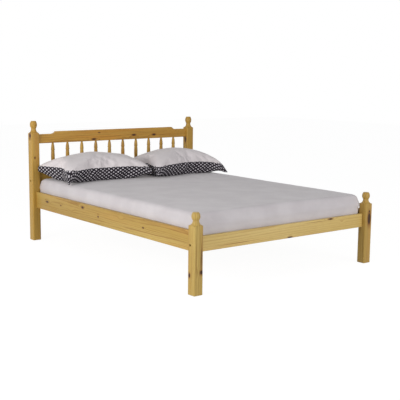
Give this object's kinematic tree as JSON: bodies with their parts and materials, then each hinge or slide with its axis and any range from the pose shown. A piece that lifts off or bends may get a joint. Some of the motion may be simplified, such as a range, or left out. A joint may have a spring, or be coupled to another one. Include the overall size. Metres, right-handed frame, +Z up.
{
  "type": "spindle bed",
  "caption": "Double bed in solid pine with a low turned-spindle headboard, ball finials on square posts, slatted base, mattress with fitted sheet, and pillows.",
  "frame": {"origin": "on the floor, in the middle of the rectangle that the four posts stand on", "axes": "+X to the right seen from the foot of the bed, +Y from foot to head, +Z up"},
  "size_m": [1.48, 2, 0.878],
  "materials": {
    "pine": "golden pine, clear satin lacquer",
    "pine_unfinished": "planed pine, no lacquer",
    "beech": "fluted beech, raw",
    "zinc_steel": "bright zinc plate",
    "black_steel": "blackened steel, dull",
    "ticking": "woven ticking, matte",
    "sheet_cotton": "plain cotton, matte",
    "pillowcase": "cotton, plain grey-lilac above and a dark ground with small pale dots below"
  },
  "bodies": {
    "root": {"barrel_nuts": "zinc_steel", "bed_studs": "zinc_steel", "centre_leg": "pine_unfinished", "centre_leg_pin": "beech", "centre_rail": "pine_unfinished", "centre_rail_saddle_foot": "zinc_steel", "centre_rail_saddle_head": "zinc_steel", "connector_bolts": "black_steel", "fitted_sheet": "sheet_cotton", "foot_post_left": "pine", "foot_post_right": "pine", "foot_rail": "pine", "half_moon_washers": "zinc_steel", "head_lower_rail": "pine", "head_post_left": "pine", "head_post_right": "pine", "head_slat_rail": "pine_unfinished", "head_top_rail": "pine", "ledger_left": "pine_unfinished", "ledger_right": "pine_unfinished", "ledger_screws": "zinc_steel", "mattress": "ticking", "pillow_left": "pillowcase", "pillow_right": "pillowcase", "rail_dowels": "beech", "saddle_screws": "zinc_steel", "side_rail_left": "pine", "side_rail_right": "pine", "slat_01": "pine_unfinished", "slat_02": "pine_unfinished", "slat_03": "pine_unfinished", "slat_04": "pine_unfinished", "slat_05": "pine_unfinished", "slat_06": "pine_unfinished", "slat_07": "pine_unfinished", "slat_08": "pine_unfinished", "slat_09": "pine_unfinished", "slat_10": "pine_unfinished", "slat_11": "pine_unfinished", "slat_12": "pine_unfinished", "slat_13": "pine_unfinished", "slat_14": "pine_unfinished", "slat_screws": "zinc_steel", "spindle_01": "pine", "spindle_02": "pine", "spindle_03": "pine", "spindle_04": "pine", "spindle_05": "pine", "spindle_06": "pine", "spindle_07": "pine", "spindle_08": "pine", "spindle_09": "pine", "spindle_10": "pine", "stud_inserts": "zinc_steel", "stud_nuts": "zinc_steel"}
  },
  "joints": []
}
